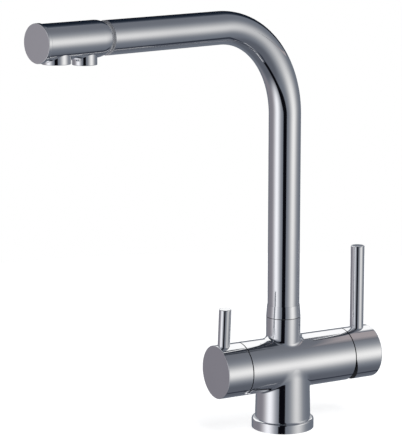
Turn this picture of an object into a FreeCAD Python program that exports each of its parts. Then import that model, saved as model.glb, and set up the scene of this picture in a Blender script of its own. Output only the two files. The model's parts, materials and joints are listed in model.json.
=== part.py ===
import FreeCAD, Part
import math
import os
from types import SimpleNamespace

import Sketcher
from FreeCAD import Vector

# Kitchen mixer tap with a second valve for filtered water, in millimetres.
# The origin is the middle of the foot on the deck, +Z is up, the barrel lies along X with the mixer at +X,
# and -Y is the side that the user stands on.

SIZES = {
    # Foot and body casting
    "base_radius": 25.0,
    "base_height": 8.0,
    "base_rounding": 1.6,
    "foot_radius": 19.0,
    "gasket_inner": 20.4,
    "gasket_width": 3.0,
    "gasket_depth": 1.5,
    "column_radius": 22.3,
    "column_top_radius": 21.24,
    "barrel_radius": 21.25,
    "barrel_height": 52.6,
    "barrel_left": 39.7,
    "barrel_right": 56.2,
    "collar_wall": 1.0,
    "neck_top": 90.7,
    "neck_blend": 3.5,
    "column_blend": 1.8,
    "edge_rounding": 0.35,
    # Waterways of the casting
    "supply_port_radius": 4.5,
    "supply_port_depth": 12.0,
    "supply_drill": 3.4,
    "supply_x": 10.5,
    "supply_y": 7.5,
    "supply_drop": 5.0,
    "mixed_rise": 9.0,
    "mixed_drill": 2.9,
    "mixed_x": 7.6,
    "filter_supply_x": 11.0,
    "filter_rise": 8.0,
    "filter_drill": 2.4,
    "stud_hole": 3.4,
    "stud_depth": 14.0,
    "stud_spacing": 26.0,
    # Swivel of the spout
    "neck_wall": 3.2,
    "neck_floor_rise": 12.5,
    "swivel_clearance": 0.08,
    "spigot_bore": 7.2,
    "spigot_gap": 1.9,
    "spigot_grip": 12.0,
    "seal_groove_depth": 1.72,
    "seal_groove_width": 2.0,
    "seal_radius": 0.84,
    "seal_low": 6.0,
    "seal_high": 12.0,
    "slip_ring_thickness": 0.5,
    "collar_floor": 1.0,
    "collar_height": 9.5,
    "collar_lip": 0.25,
    "neck_screw_drop": 5.7,
    "neck_screw_radius": 2.5,
    "neck_screw_tip": 1.5,
    "neck_screw_socket": 1.4,
    "retaining_groove_width": 4.0,
    "retaining_groove_depth": 1.4,
    # Spout
    "spout_swing": 13.8,
    "tube_radius": 12.7,
    "tube_wall": 1.5,
    "bend_radius": 72.5,
    "arm_height": 325.5,
    "arm_length": 186.0,
    "filter_tube_radius": 4.0,
    "filter_tube_wall": 1.0,
    "filter_plug_length": 4.0,
    "filter_plug_radius": 5.2,
    "filter_plug_height": 6.0,
    "filter_plug_floor": 2.0,
    "plug_seal_radius": 0.6,
    # Outlet head
    "head_gap": 1.4,
    "head_step": 0.85,
    "head_shoulder_drop": 2.75,
    "head_shoulder_length": 8.6,
    "head_length": 58.2,
    "head_wall": 5.55,
    "head_socket_depth": 7.6,
    "end_cap_lip": 0.65,
    "end_cap_thickness": 3.0,
    "end_cap_plug": 4.0,
    "connector_wall": 2.0,
    "connector_grip": 14.0,
    "connector_root_step": 0.4,
    "connector_seal_radius": 0.6,
    "mains_outlet_in": 43.6,
    "mains_outlet_radius": 10.5,
    "mains_outlet_low": 15.5,
    "mains_socket_top": 6.5,
    "mains_way": 6.0,
    "filter_outlet_in": 17.6,
    "filter_outlet_radius": 9.0,
    "filter_outlet_low": 17.9,
    "filter_socket_top": 8.5,
    "outlet_wall": 1.6,
    "outlet_lip": 0.7,
    "outlet_lip_height": 1.0,
    "washer_thickness": 0.5,
    "insert_recess": 0.4,
    "jet_radius": 0.7,
    "jets_per_ring": 8,
    "outer_jets": 0.75,
    "inner_jets": 0.4,
    "duct_radius": 5.5,
    "duct_half_height": 5.0,
    "duct_bore": 2.6,
    "duct_stem": 4.5,
    "duct_stop": 2.3,
    # Filter valve and its lever
    "filter_valve_depth": 19.7,
    "valve_pocket": 10.5,
    "valve_seal_height": 2.0,
    "valve_bore": 7.5,
    "valve_skirt": 8.6,
    "valve_end_gap": 1.0,
    "valve_disc": 3.0,
    "valve_chamber": 10.0,
    "valve_hex": 13.8,
    "valve_hex_height": 4.3,
    "valve_neck": 7.0,
    "valve_neck_height": 3.0,
    "valve_port": 2.0,
    "valve_port_offset": 4.4,
    "filter_spindle_radius": 4.0,
    "filter_spindle_flange": 2.5,
    "filter_square": 5.6,
    "filter_square_length": 7.0,
    "spindle_seal_radius": 0.7,
    "circlip_radius": 5.6,
    "circlip_thickness": 0.9,
    "circlip_groove": 0.7,
    "filter_cap_gap": 0.6,
    "filter_cap_length": 22.0,
    "filter_cap_bore": 16.5,
    "filter_cap_depth": 11.0,
    "filter_pin_in": 6.3,
    "filter_pin_radius": 4.85,
    "filter_pin_tip": 51.3,
    "filter_pin_shank": 3.0,
    "filter_pin_shank_length": 8.0,
    "filter_lean": 4.0,
    "pin_seat_drop": 2.0,
    "pin_tip_rounding": 0.8,
    "cap_screw_radius": 2.5,
    "cap_screw_length": 11.0,
    "cap_screw_socket": 1.3,
    "cap_screw_socket_depth": 3.0,
    # Mixer cartridge and its lever
    "cartridge_depth": 34.2,
    "cartridge_radius": 17.5,
    "cartridge_wall": 2.2,
    "port_radius": 3.4,
    "port_seal_wall": 1.5,
    "port_seal_height": 2.4,
    "cartridge_lift": 0.6,
    "cartridge_base_height": 4.4,
    "fixed_disc_clearance": 0.3,
    "fixed_disc_height": 4.0,
    "moving_disc_clearance": 0.7,
    "moving_disc_height": 3.5,
    "moving_disc_offset": 2.6,
    "moving_disc_recess": 6.6,
    "moving_disc_recess_depth": 1.5,
    "driver_radius": 10.5,
    "driver_height": 6.5,
    "driver_floor": 0.7,
    "carrier_clearance": 0.4,
    "carrier_flange": 3.0,
    "carrier_radius": 10.5,
    "carrier_past_pivot": 4.6,
    "carrier_slot_width": 7.4,
    "carrier_slot_low": 5.2,
    "carrier_slot_high": 8.8,
    "housing_cover": 3.0,
    "housing_collar": 12.8,
    "housing_collar_height": 4.7,
    "nut_wall": 5.7,
    "nut_step": 1.4,
    "nut_height": 5.5,
    "dome_flange": 1.2,
    "dome_radius": 16.6,
    "dome_wall": 1.2,
    "dome_mouth": 11.2,
    "rim_gap": 0.9,
    "pivot_past_barrel": 1.7,
    "flow_tilt": 15.0,
    "pivot_pin_radius": 1.5,
    "pivot_pin_length": 20.0,
    "ball_radius": 3.4,
    "ball_neck": 2.4,
    "ball_neck_length": 5.0,
    "mixer_spindle_radius": 3.2,
    "mixer_square": 6.0,
    "mixer_square_length": 14.0,
    "mixer_cap_reach": 24.3,
    "dome_clearance": 0.6,
    "mixer_cap_boss": 6.5,
    "mixer_boss_past_pivot": 8.6,
    "mixer_cap_rounding": 1.0,
    "mixer_screw_in": 4.0,
    "mixer_pin_in": 11.5,
    "mixer_pin_radius": 5.55,
    "mixer_pin_tip": 88.8,
    "mixer_pin_shank": 3.5,
    "mixer_pin_shank_length": 3.8,
    # Clearances
    "running_clearance": 0.06,
    "fit_clearance": 0.05,
    "loose_clearance": 0.1,
    "end_play": 0.3,
}

doc = FreeCAD.newDocument("mixer_tap")
sheet = doc.addObject("Spreadsheet::Sheet", "tap")
for row, (alias, number) in enumerate(SIZES.items(), start=1):
    sheet.set(f"A{row}", alias)
    sheet.set(f"B{row}", str(number))
    sheet.setAlias(f"B{row}", alias)
doc.recompute()


class Term:
    """A size, or a sum worked out from sizes: its expression for the sheet and its present value."""

    def __init__(self, text, value):
        self.text = text
        self.value = value

    def join(self, sign, other, value):
        return Term(f"({self.text} {sign} {as_term(other).text})", value)

    def __add__(self, other):
        return self.join("+", other, self.value + as_term(other).value)

    def __sub__(self, other):
        return self.join("-", other, self.value - as_term(other).value)

    def __mul__(self, other):
        return self.join("*", other, self.value * as_term(other).value)

    def __truediv__(self, other):
        return self.join("/", other, self.value / as_term(other).value)

    def __neg__(self):
        return Term(f"(-1 * {self.text})", -self.value)


def as_term(size):
    return size if isinstance(size, Term) else Term(str(size), size)


def leg(long_side, short_side):
    """The other leg of a right triangle, from its longest side and one leg."""
    inside = long_side * long_side - short_side * short_side
    return Term(f"sqrt({inside.text})", inside.value ** 0.5)


def slope(angle):
    """The tangent of an angle in degrees."""
    return Term(f"tan({angle.text} * 1 deg)", math.tan(math.radians(angle.value)))


s = SimpleNamespace(**{alias: Term(f"tap.{alias}", number) for alias, number in SIZES.items()})

# Sizes and places that follow the driving dimensions
s.tube_bore = s.tube_radius - s.tube_wall
s.neck_radius = s.tube_radius + s.collar_wall
s.neck_bore = s.neck_radius - s.neck_wall
s.head_radius = s.tube_radius + s.head_step
s.head_shoulder_radius = s.head_radius - s.head_shoulder_drop
s.head_bore = s.head_radius - s.head_wall
s.end_cap_radius = s.head_radius + s.end_cap_lip
s.connector_radius = s.head_bore + s.connector_wall
s.connector_root = s.connector_radius + s.connector_root_step
s.head_start = s.arm_length + s.head_gap
s.head_end = s.head_start + s.head_length
s.mains_outlet_at = s.head_start + s.mains_outlet_in
s.filter_outlet_at = s.head_start + s.filter_outlet_in
s.filter_seat = s.barrel_left - s.filter_valve_depth
s.filter_cap_start = s.barrel_left + s.filter_cap_gap
s.filter_cap_end = s.filter_cap_start + s.filter_cap_length
s.filter_cap_floor = s.filter_cap_start + s.filter_cap_depth
s.filter_pin_at = s.filter_cap_end - s.filter_pin_in
s.mixer_seat = s.barrel_right - s.cartridge_depth
s.disc_seat = s.mixer_seat + s.cartridge_lift + s.cartridge_base_height
s.moving_seat = s.disc_seat + s.fixed_disc_height
s.driver_seat = s.moving_seat + s.moving_disc_height
s.carrier_seat = s.driver_seat + s.driver_height + s.end_play
s.cover_seat = s.carrier_seat + s.carrier_flange
s.cartridge_top = s.cover_seat + s.housing_cover
s.housing_bore = s.cartridge_radius - s.cartridge_wall
s.fixed_disc_radius = s.housing_bore - s.fixed_disc_clearance
s.moving_disc_radius = s.housing_bore - s.moving_disc_offset - s.moving_disc_clearance
s.carrier_flange_radius = s.housing_bore - s.carrier_clearance
s.nut_radius = s.cartridge_radius + s.nut_step
s.nut_bore = s.nut_radius - s.nut_wall
s.tilt_pivot = s.barrel_right + s.pivot_past_barrel
s.carrier_end = s.tilt_pivot + s.carrier_past_pivot
s.mixer_cap_end = s.tilt_pivot + s.mixer_cap_reach
s.mixer_cap_bore = s.dome_radius + s.dome_clearance
s.mixer_boss_start = s.tilt_pivot + s.mixer_boss_past_pivot
s.mixer_screw_at = s.mixer_cap_end - s.mixer_screw_in
s.mixer_pin_at = s.mixer_cap_end - s.mixer_pin_in
s.neck_floor = s.barrel_height + s.neck_floor_rise
s.spigot_low = s.neck_floor + s.spigot_gap
s.spigot_radius = s.neck_bore - s.swivel_clearance
s.collar_low = s.neck_top + s.slip_ring_thickness
s.tube_low = s.collar_low + s.collar_floor

# Where each group of pieces lies: its local +Z is the axis that its pieces are turned about.
BARREL = "placement(vector(0; 0; tap.barrel_height); {})"
RIGHT = BARREL.format("rotation(vector(0; 1; 0); 90) * rotation(vector(0; 0; 1); 180)")
LEFT = BARREL.format("rotation(vector(0; 1; 0); -90)")
LEFT_TURNED = BARREL.format("rotation(vector(1; 0; 0); tap.filter_lean) * rotation(vector(0; 1; 0); -90)")
RIGHT_LEVER = BARREL.format("rotation(vector(0; 0; 1); 0)")
LEFT_LEVER = BARREL.format("rotation(vector(1; 0; 0); tap.filter_lean)")
UPRIGHT = "placement(vector(0; 0; 0); rotation(vector(0; 0; 1); 0))"
SPOUT = "placement(vector(0; 0; 0); rotation(vector(0; 0; 1); tap.spout_swing))"
ARM = SPOUT + " * placement(vector(0; 0; tap.arm_height); rotation(vector(0; 1; 0); -90))"


def shifted(frame, x, y, z, turn_axis="0; 0; 1", turn=0):
    """A frame moved, and turned about its own axis, inside another frame."""
    spot = "; ".join(as_term(part).text for part in (x, y, z))
    return f"{frame} * placement(vector({spot}); rotation(vector({turn_axis}); {turn}))"


H_AXIS, V_AXIS, ORIGIN_POINT = -1, -2, 1
START, END, CENTRE = 1, 2, 3
NEAR = 0.001
nodes = []


def keep(piece, frame=None):
    """Count a finished piece as a node, and put it in its frame."""
    if frame:
        piece.setExpression("Placement", frame)
    nodes.append(piece)
    return piece


def new_sketch(body, role, offset=None):
    """An empty sketch on one of the body's own origin planes, moved along the plane's normal."""
    sketch = body.newObject("Sketcher::SketchObject", f"{body.Name}_sketch")
    plane = next(feature for feature in body.Origin.OriginFeatures if feature.Role == role)
    sketch.AttachmentSupport = [(plane, "")]
    sketch.MapMode = "FlatFace"
    if offset is not None:
        sketch.setExpression("AttachmentOffset.Base.z", as_term(offset).text)
    return sketch


def measure(sketch, kind, size, *where):
    """Add a dimension that follows the sheet."""
    index = sketch.addConstraint(Sketcher.Constraint(kind, *where, as_term(size).value))
    sketch.setExpression(f"Constraints[{index}]", as_term(size).text)


def locate(sketch, edge, point, x, y):
    """Fix a point of the sketch by its two distances from the origin; a plain 0 puts it on the axis."""
    for kind, axis, distance in (("DistanceX", V_AXIS, x), ("DistanceY", H_AXIS, y)):
        if isinstance(distance, Term):
            measure(sketch, kind, distance, H_AXIS, ORIGIN_POINT, edge, point)
        else:
            sketch.addConstraint(Sketcher.Constraint("PointOnObject", edge, point, axis))


def bent_edge(start, end, radius):
    """An arc between two points: a positive radius runs anticlockwise, a negative one clockwise."""
    chord = end - start
    side = Vector(-chord.y, chord.x, 0).normalize()
    depth = (radius ** 2 - chord.Length ** 2 / 4) ** 0.5
    centre = (start + end) / 2 + side * (depth if radius > 0 else -depth)
    circle = Part.Circle(centre, Vector(0, 0, 1), abs(radius))
    first, last = (start, end) if radius > 0 else (end, start)
    return Part.ArcOfCircle(circle, circle.parameter(first), circle.parameter(last))


def outline(sketch, points, closed=True):
    """Draw lines from point to point; a point's third value makes the edge that arrives there an arc."""
    spots = [Vector(as_term(point[0]).value, as_term(point[1]).value, 0) for point in points]
    pairs = list(zip(range(len(points)), range(1, len(points))))
    if closed:
        pairs.append((len(points) - 1, 0))
    ends = []
    for here, there in pairs:
        radius = points[there][2] if len(points[there]) == 3 else None
        if radius is None:
            edge = sketch.addGeometry(Part.LineSegment(spots[here], spots[there]))
            ends.append((edge, START, END))
        else:
            edge = sketch.addGeometry(bent_edge(spots[here], spots[there], radius.value))
            ends.append((edge, START, END) if radius.value > 0 else (edge, END, START))
            measure(sketch, "Radius", radius if radius.value > 0 else -radius, edge)
    for (edge, first, last), (here, there) in zip(ends, pairs):
        locate(sketch, edge, first, *points[here][:2])
        if closed or there < len(points) - 1:
            following = ends[(ends.index((edge, first, last)) + 1) % len(ends)]
            sketch.addConstraint(Sketcher.Constraint("Coincident", edge, last, following[0], following[1]))
        else:
            locate(sketch, edge, last, *points[there][:2])


def circles(sketch, holes):
    """Draw circles given by their centre and radius."""
    for x, y, radius in holes:
        spot = Vector(as_term(x).value, as_term(y).value, 0)
        edge = sketch.addGeometry(Part.Circle(spot, Vector(0, 0, 1), radius.value))
        measure(sketch, "Radius", radius, edge)
        if isinstance(x, Term) or isinstance(y, Term):
            locate(sketch, edge, CENTRE, x, y)
        else:
            sketch.addConstraint(Sketcher.Constraint("Coincident", edge, CENTRE, H_AXIS, ORIGIN_POINT))


def turned(label, points):
    """A body turned from its half section, given as radius and height along the axis."""
    body = doc.addObject("PartDesign::Body", label)
    sketch = new_sketch(body, "XZ_Plane")
    outline(sketch, points)
    turn = body.newObject("PartDesign::Revolution", f"{label}_turning")
    turn.Profile = sketch
    turn.ReferenceAxis = (sketch, ["V_Axis"])
    doc.recompute()
    return body


def swept(label, path, radius):
    """A round bar that starts on the XY plane's Z axis and follows a path drawn on the XZ plane."""
    body = doc.addObject("PartDesign::Body", label)
    spine = new_sketch(body, "XZ_Plane")
    outline(spine, path, closed=False)
    section = new_sketch(body, "XY_Plane", path[0][1])
    circles(section, [(0, 0, radius)])
    pipe = body.newObject("PartDesign::AdditivePipe", f"{label}_bar")
    pipe.Profile = section
    pipe.Spine = spine
    doc.recompute()
    return body, spine


def hollowed(body, spine, start, radius):
    """Bore a bent bar along the path that it follows."""
    section = new_sketch(body, "XY_Plane", start)
    circles(section, [(0, 0, radius)])
    bore = body.newObject("PartDesign::SubtractivePipe", f"{body.Name}_bore")
    bore.Profile = section
    bore.Spine = spine
    doc.recompute()


def cut(body, role, offset, draw, shapes, depth, onward=False, both=False):
    """Cut a drawn shape out of a body, against the plane's normal, onward along it, or to both sides."""
    before = body.Shape.Volume
    sketch = new_sketch(body, role, offset)
    draw(sketch, shapes)
    pocket = body.newObject("PartDesign::Pocket", f"{body.Name}_cut")
    pocket.Profile = sketch
    pocket.Reversed = onward
    pocket.SideType = "Symmetric" if both else "One side"
    pocket.setExpression("Length", as_term(depth).text)
    doc.recompute()
    if not body.Shape.Volume < before:
        raise RuntimeError(f"{pocket.Name} cuts nothing from {body.Label}")
    return pocket


def padded(body, offset, draw, shapes, height):
    """Add a drawn shape to a body, upwards from a plane across its axis."""
    sketch = new_sketch(body, "XY_Plane", offset)
    draw(sketch, shapes)
    pad = body.newObject("PartDesign::Pad", f"{body.Name}_pad")
    pad.Profile = sketch
    pad.setExpression("Length", as_term(height).text)
    doc.recompute()


def ring_edges(shape, radius, height):
    """The names of the whole circles of a radius that lie at a height across the body's axis."""
    names = []
    for number, edge in enumerate(shape.Edges, start=1):
        curve = edge.Curve
        if not isinstance(curve, Part.Circle) or abs(curve.Radius - radius.value) > NEAR:
            continue
        if abs(curve.Center.z - height.value) < NEAR and abs(curve.Axis.z) > 1 - NEAR:
            names.append(f"Edge{number}")
    return names


def rounded(body, names, radius):
    """Round the named edges of the body's last feature."""
    if not names:
        raise RuntimeError(f"{body.Label} has no such edge to round")
    fillet = body.newObject("PartDesign::Fillet", f"{body.Name}_rounding")
    fillet.Base = (body.Tip if body.Tip != fillet else fillet.BaseFeature, names)
    fillet.setExpression("Radius", as_term(radius).text)
    doc.recompute()


def rounded_rings(body, radius, *rings):
    """Round circular edges, given by their radius and height."""
    names = []
    for ring_radius, height in rings:
        names += ring_edges(body.Shape, as_term(ring_radius), as_term(height))
    rounded(body, names, radius)


def square(side):
    half = side / 2
    return [(-half, -half), (half, -half), (half, half), (-half, half)]


def hexagon(circumradius):
    half = circumradius / 2
    flat = circumradius * (3 ** 0.5 / 2)
    return [(circumradius, 0), (half, flat), (-half, flat), (-circumradius, 0), (-half, -flat), (half, -flat)]


def sleeve(inner, outer, low, high):
    """The half section of a plain ring."""
    return [(inner, low), (outer, low), (outer, high), (inner, high)]


def seal_rings(label, ring_radius, section_radius, spots, frame):
    """A group of round rubber rings on one axis."""
    rings = []
    for height in spots:
        ring = doc.addObject("Part::Torus", f"{label}_ring")
        ring.setExpression("Radius1", ring_radius.text)
        ring.setExpression("Radius2", section_radius.text)
        ring.setExpression("Placement.Base.z", height.text)
        rings.append(ring)
    group = doc.addObject("Part::Compound", label)
    group.Links = rings
    return keep(group, frame)


def groove(radius, depth, low, high):
    """The four corners of a groove in the outside of a turned piece."""
    return [(radius, low), (radius - depth, low), (radius - depth, high), (radius, high)]


def meeting_edges(shape, height, above):
    """The names of the curves where the barrel meets the neck above its axis, or the column below it."""
    names = []
    for number, edge in enumerate(shape.Edges, start=1):
        flat_curve = isinstance(edge.Curve, (Part.Circle, Part.Line))
        if not flat_curve and (edge.CenterOfMass.z > height.value) == above:
            names.append(f"Edge{number}")
    return names


# Body casting
def body_casting():
    axis = s.barrel_height
    body = turned("body_casting", [
        (0, 0),
        (s.foot_radius, 0),
        (s.foot_radius, s.base_height),
        (s.column_radius, s.base_height),
        (s.column_top_radius, axis),
        (s.neck_radius, axis),
        (s.neck_radius, s.neck_top),
        (0, s.neck_top),
    ])
    sketch = new_sketch(body, "YZ_Plane", -s.barrel_left)
    circles(sketch, [(0, axis, s.barrel_radius)])
    barrel = body.newObject("PartDesign::Pad", "barrel")
    barrel.Profile = sketch
    barrel.setExpression("Length", (s.barrel_left + s.barrel_right).text)
    doc.recompute()

    rounded(body, meeting_edges(body.Shape, axis, above=True), s.neck_blend)
    rounded(body, meeting_edges(body.Shape, axis, above=False), s.column_blend)

    floor = s.neck_floor
    depth = s.neck_top - floor
    cut(body, "XY_Plane", s.neck_top, circles, [(0, 0, s.neck_bore)], depth)
    cut(body, "XY_Plane", floor, circles, [(0, 0, s.filter_tube_radius + s.fit_clearance)],
        s.filter_plug_length + s.filter_plug_floor)
    cut(body, "XY_Plane", floor, circles, [(s.mixed_x, 0, s.mixed_drill)], s.neck_floor_rise - s.mixed_rise)

    nut_seat = s.cartridge_top
    cut(body, "YZ_Plane", s.barrel_right, circles, [(0, axis, s.nut_radius + s.loose_clearance)],
        s.barrel_right - nut_seat)
    cut(body, "YZ_Plane", nut_seat, circles, [(0, axis, s.cartridge_radius + s.loose_clearance)],
        nut_seat - s.mixer_seat)
    supply_end = axis - s.supply_drop
    cut(body, "YZ_Plane", s.mixer_seat, circles,
        [(s.supply_y, supply_end, s.supply_drill), (-s.supply_y, supply_end, s.supply_drill)],
        s.mixer_seat - s.supply_x)
    cut(body, "YZ_Plane", s.mixer_seat, circles, [(0, axis + s.mixed_rise, s.mixed_drill)],
        s.mixer_seat - s.mixed_x)

    cut(body, "YZ_Plane", -s.barrel_left, circles, [(0, axis, s.valve_pocket)],
        s.barrel_left - s.filter_seat, onward=True)
    cut(body, "YZ_Plane", -s.filter_seat, circles, [(0, axis, s.supply_drill)],
        s.filter_seat - s.filter_supply_x, onward=True)
    cut(body, "YZ_Plane", -s.filter_seat, circles, [(0, axis + s.filter_rise, s.filter_drill)],
        s.filter_seat, onward=True)

    supplies = [(s.supply_x, s.supply_y), (s.supply_x, -s.supply_y)]
    cut(body, "XY_Plane", None, circles, [(x, y, s.supply_drill) for x, y in supplies], supply_end,
        onward=True)
    cut(body, "XY_Plane", None, circles, [(-s.filter_supply_x, 0, s.supply_drill)], axis, onward=True)
    ports = supplies + [(-s.filter_supply_x, 0)]
    cut(body, "XY_Plane", None, circles, [(x, y, s.supply_port_radius) for x, y in ports],
        s.supply_port_depth, onward=True)
    half = s.stud_spacing / 2
    cut(body, "XY_Plane", None, circles,
        [(0, half, s.stud_hole), (0, -half, s.stud_hole)], s.stud_depth, onward=True)
    cut(body, "XZ_Plane", -s.spigot_bore, circles,
        [(0, s.neck_top - s.neck_screw_drop, s.neck_screw_radius)], s.neck_radius)
    keep(body)


def base_pieces():
    ring = turned("base_ring", sleeve(s.foot_radius + s.fit_clearance, s.base_radius, 0, s.base_height))
    gasket_outer = s.gasket_inner + s.gasket_width
    rounded_rings(ring, s.base_rounding, (s.base_radius, s.base_height))
    cut(ring, "XY_Plane", None, circles, [(0, 0, s.gasket_inner), (0, 0, gasket_outer)], s.gasket_depth,
        onward=True)
    keep(ring)
    keep(turned("base_gasket", sleeve(s.gasket_inner, gasket_outer, 0, s.gasket_depth)))


# Swivel between neck and spout
def swivel_pieces():
    half_groove = s.seal_groove_width / 2
    seal_spots = [s.spigot_low + s.seal_low, s.spigot_low + s.seal_high]
    screw_height = s.neck_top - s.neck_screw_drop
    half_catch = s.retaining_groove_width / 2
    section = [(s.spigot_bore, s.spigot_low), (s.spigot_radius, s.spigot_low)]
    for spot in seal_spots:
        section += groove(s.spigot_radius, s.seal_groove_depth, spot - half_groove, spot + half_groove)
    section += groove(s.spigot_radius, s.retaining_groove_depth, screw_height - half_catch,
                      screw_height + half_catch)
    section += [
        (s.spigot_radius, s.tube_low),
        (s.tube_bore - s.fit_clearance, s.tube_low),
        (s.tube_bore - s.fit_clearance, s.tube_low + s.spigot_grip),
        (s.spigot_bore, s.tube_low + s.spigot_grip),
    ]
    keep(turned("swivel_spigot", section), SPOUT)
    ring_radius = s.spigot_radius - s.seal_groove_depth + s.seal_radius + s.fit_clearance / 2
    seal_rings("spigot_seals", ring_radius, s.seal_radius, seal_spots, SPOUT)

    bore = s.neck_bore + s.fit_clearance
    slip_radius = s.neck_radius - s.edge_rounding
    keep(turned("slip_ring", sleeve(bore, slip_radius, s.neck_top, s.collar_low)))
    collar_top = s.collar_low + s.collar_height
    skirt = s.tube_radius + s.fit_clearance
    keep(turned("spout_collar", [
        (s.spigot_radius + s.fit_clearance, s.collar_low),
        (s.neck_radius, s.collar_low),
        (skirt + s.collar_lip, collar_top),
        (skirt, collar_top),
        (skirt, s.tube_low),
        (s.spigot_radius + s.fit_clearance, s.tube_low),
    ]), SPOUT)

    tip_end = s.spigot_radius - s.retaining_groove_depth + s.loose_clearance
    screw_radius = s.neck_screw_radius - s.fit_clearance
    screw = turned("neck_screw", [
        (0, tip_end),
        (s.neck_screw_tip, tip_end),
        (s.neck_screw_tip, s.neck_bore + s.edge_rounding),
        (screw_radius, s.neck_bore + s.edge_rounding),
        (screw_radius, s.neck_radius - s.edge_rounding),
        (0, s.neck_radius - s.edge_rounding),
    ])
    cut(screw, "XY_Plane", s.neck_radius - s.edge_rounding, outline, hexagon(s.cap_screw_socket),
        s.neck_screw_socket)
    keep(screw, shifted(UPRIGHT, 0, 0, screw_height, "1; 0; 0", -90))


# Spout tube and the inner tube for filtered water
def bent_path(low, reach):
    """Straight up, one round bend, then straight out along -X."""
    bend_start = s.arm_height - s.bend_radius
    return [(0, low), (0, bend_start), (-s.bend_radius, s.arm_height, s.bend_radius), (-reach, s.arm_height)]


def spout_tubes():
    tube, spine = swept("spout_tube", bent_path(s.tube_low, s.arm_length), s.tube_radius)
    hollowed(tube, spine, s.tube_low, s.tube_bore)
    keep(tube, SPOUT)

    plug_seat = s.neck_floor
    tube_foot = plug_seat + s.filter_plug_floor
    reach = s.filter_outlet_at - s.duct_stop
    inner, inner_spine = swept("filter_tube", bent_path(tube_foot, reach), s.filter_tube_radius)
    bore = s.filter_tube_radius - s.filter_tube_wall
    hollowed(inner, inner_spine, tube_foot, bore)
    keep(inner, SPOUT)

    stem = s.filter_tube_radius - s.fit_clearance
    socket = s.filter_tube_radius + s.fit_clearance
    seal_height = plug_seat - s.filter_plug_length / 2
    groove_depth = s.plug_seal_radius * 2 - s.fit_clearance
    half_groove = s.plug_seal_radius + s.fit_clearance
    plug_bore = bore - s.filter_tube_wall
    section = [(plug_bore, plug_seat - s.filter_plug_length), (stem, plug_seat - s.filter_plug_length)]
    section += groove(stem, groove_depth, seal_height - half_groove, seal_height + half_groove)
    section += [
        (stem, plug_seat),
        (s.filter_plug_radius, plug_seat),
        (s.filter_plug_radius, plug_seat + s.filter_plug_height),
        (socket, plug_seat + s.filter_plug_height),
        (socket, tube_foot),
        (plug_bore, tube_foot),
    ]
    keep(turned("filter_plug", section), SPOUT)
    ring_radius = stem - groove_depth + s.plug_seal_radius + s.fit_clearance / 2
    seal_rings("filter_plug_seal", ring_radius, s.plug_seal_radius, [seal_height], SPOUT)


# Outlet head
def head_pieces():
    start = s.head_start
    shoulder_end = start + s.head_shoulder_length
    shoulder_rise = s.head_shoulder_drop
    length_square = s.head_shoulder_length * s.head_shoulder_length
    shoulder_arc = (length_square + shoulder_rise * shoulder_rise) / (shoulder_rise * 2)
    socket = s.connector_radius + s.fit_clearance
    head = turned("head_shell", [
        (socket, start),
        (s.head_shoulder_radius, start),
        (s.head_radius, shoulder_end, shoulder_arc),
        (s.head_radius, s.head_end),
        (s.head_bore, s.head_end),
        (s.head_bore, start + s.head_socket_depth),
        (socket, start + s.head_socket_depth),
    ])
    mains_hole = s.mains_outlet_radius + s.loose_clearance
    filter_hole = s.filter_outlet_radius + s.loose_clearance
    cut(head, "YZ_Plane", -s.mains_socket_top, circles, [(0, s.mains_outlet_at, mains_hole)], s.head_radius)
    cut(head, "YZ_Plane", None, circles, [(0, s.mains_outlet_at, s.mains_way)], s.mains_socket_top * 2)
    cut(head, "YZ_Plane", -s.filter_socket_top, circles, [(0, s.filter_outlet_at, filter_hole)],
        s.head_radius)
    cut(head, "YZ_Plane", None, circles, [(0, s.filter_outlet_at, s.duct_stem + s.fit_clearance)],
        s.filter_socket_top * 2)
    keep(head, ARM)

    plug_radius = s.head_bore - s.fit_clearance
    cap_end = s.head_end + s.end_cap_thickness
    end_cap = turned("head_end_cap", [
        (0, s.head_end - s.end_cap_plug),
        (plug_radius, s.head_end - s.end_cap_plug),
        (plug_radius, s.head_end),
        (s.end_cap_radius, s.head_end),
        (s.end_cap_radius, cap_end),
        (0, cap_end),
    ])
    rounded_rings(end_cap, s.edge_rounding, (s.end_cap_radius, cap_end), (s.end_cap_radius, s.head_end))
    keep(end_cap, ARM)

    tube_fit = s.tube_bore - s.fit_clearance
    seal_spot = start + s.head_socket_depth / 2
    seal_half = s.connector_seal_radius + s.fit_clearance
    seal_depth = s.connector_seal_radius * 2
    section = [
        (s.head_bore, s.arm_length - s.connector_grip),
        (tube_fit, s.arm_length - s.connector_grip),
        (tube_fit, s.arm_length),
        (s.connector_root, s.arm_length),
        (s.connector_root, start),
        (s.connector_radius, start),
    ]
    section += groove(s.connector_radius, seal_depth, seal_spot - seal_half, seal_spot + seal_half)
    section += [
        (s.connector_radius, start + s.head_socket_depth - s.loose_clearance),
        (s.head_bore, start + s.head_socket_depth - s.loose_clearance),
    ]
    keep(turned("head_connector", section), ARM)
    ring_radius = s.connector_radius - s.connector_seal_radius
    seal_rings("head_seal", ring_radius + s.fit_clearance / 2, s.connector_seal_radius, [seal_spot], ARM)


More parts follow.
